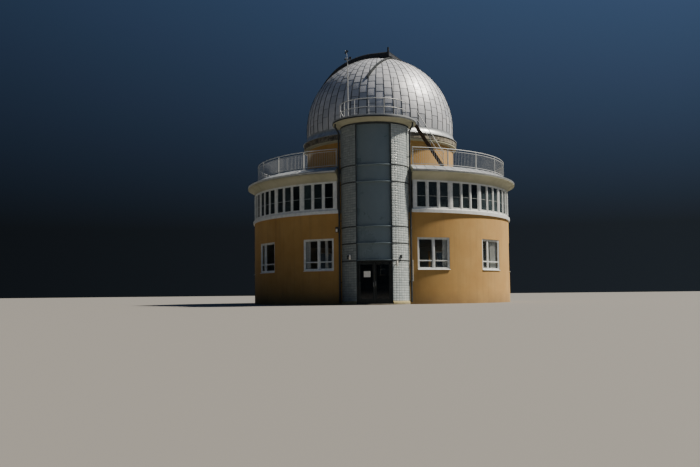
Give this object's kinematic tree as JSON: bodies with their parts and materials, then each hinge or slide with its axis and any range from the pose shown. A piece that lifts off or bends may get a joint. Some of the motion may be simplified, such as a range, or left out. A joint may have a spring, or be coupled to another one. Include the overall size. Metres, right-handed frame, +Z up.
{
  "type": "observatory building with a rotating dome",
  "caption": "Round observatory with a ribbon of windows, a roof terrace, a rotating metal dome with a swinging slit cover, and a round stair tower with a double door.",
  "frame": {"origin": "on the dome's turning axis, at ground level", "axes": "+Z up, -Y towards the stair tower and its door, +X to the right seen from the door side"},
  "size_m": [17.1608, 18.4152, 16.3367],
  "materials": {
    "ochre_render": "painted lime render on masonry",
    "concrete": "cast concrete",
    "white_frame": "white painted frames and sill",
    "window_glass": "clear window glass",
    "cream_soffit": "cream painted render",
    "sheet_metal": "folded zinc sheet",
    "dome_sheet": "standing-seam metal sheet",
    "dark_steel": "dark painted steel",
    "galvanised_steel": "galvanised steel",
    "tower_block": "small glazed blocks in mortar",
    "tower_panel": "blue-grey painted panels",
    "rusty_steel": "weathered painted steel",
    "door_metal": "dark painted steel and glass"
  },
  "bodies": {
    "building": {"band_glass": "window_glass", "base_slab": "concrete", "door_frame": "door_metal", "downpipe_left": "dark_steel", "downpipe_right": "dark_steel", "drum_cornice": "cream_soffit", "drum_wall": "ochre_render", "eaves": "cream_soffit", "first_floor": "concrete", "ground_window_1": "white_frame", "ground_window_10": "white_frame", "ground_window_11": "white_frame", "ground_window_2": "white_frame", "ground_window_3": "white_frame", "ground_window_4": "white_frame", "ground_window_5": "white_frame", "ground_window_6": "white_frame", "ground_window_7": "white_frame", "ground_window_8": "white_frame", "ground_window_9": "white_frame", "gutter": "sheet_metal", "mast": "galvanised_steel", "outer_wall_1": "ochre_render", "outer_wall_2": "ochre_render", "outer_wall_3": "ochre_render", "outer_wall_4": "ochre_render", "outer_wall_5": "ochre_render", "outer_wall_6": "ochre_render", "outer_wall_7": "ochre_render", "roof_stair": "rusty_steel", "terrace_deck": "concrete", "terrace_railing_1": "galvanised_steel", "terrace_railing_2": "galvanised_steel", "terrace_railing_3": "galvanised_steel", "tower_base": "concrete", "tower_front_panel": "tower_panel", "tower_railing": "galvanised_steel", "tower_roof": "cream_soffit", "tower_wall_left": "tower_block", "tower_wall_right": "tower_block", "window_band_1": "white_frame", "window_band_2": "white_frame", "window_band_3": "white_frame"},
    "dome": {"dome_shell_1": "dome_sheet", "dome_shell_2": "dome_sheet", "dome_shell_3": "dome_sheet", "dome_shell_4": "dome_sheet", "dome_base_ring": "dark_steel", "dome_skirt": "dome_sheet", "shutter_rail": "dark_steel", "shutter_pivot": "dark_steel"},
    "shutter": {"shutter_cover": "dome_sheet"},
    "door_leaf_left": {"door_left": "door_metal"},
    "door_leaf_right": {"door_right": "door_metal"}
  },
  "joints": [
    {"name": "dome_turn", "type": "hinge", "parent": "building", "child": "dome", "pos_m": [0, 0, 9.96], "axis": [0, 0, 1], "continuous": true},
    {"name": "shutter_swing", "type": "hinge", "parent": "dome", "child": "shutter", "pos_m": [0, 0, 11.17], "axis": [0.9039, -0.3406, -0.2588], "range_deg": [0, 38]},
    {"name": "door_left_hinge", "type": "hinge", "parent": "building", "child": "door_leaf_left", "pos_m": [-0.827, -9.085, 0.1], "axis": [0, 0, -1], "range_deg": [0, 90]},
    {"name": "door_right_hinge", "type": "hinge", "parent": "building", "child": "door_leaf_right", "pos_m": [0.827, -9.085, 0.1], "axis": [0, 0, 1], "range_deg": [0, 90]}
  ]
}
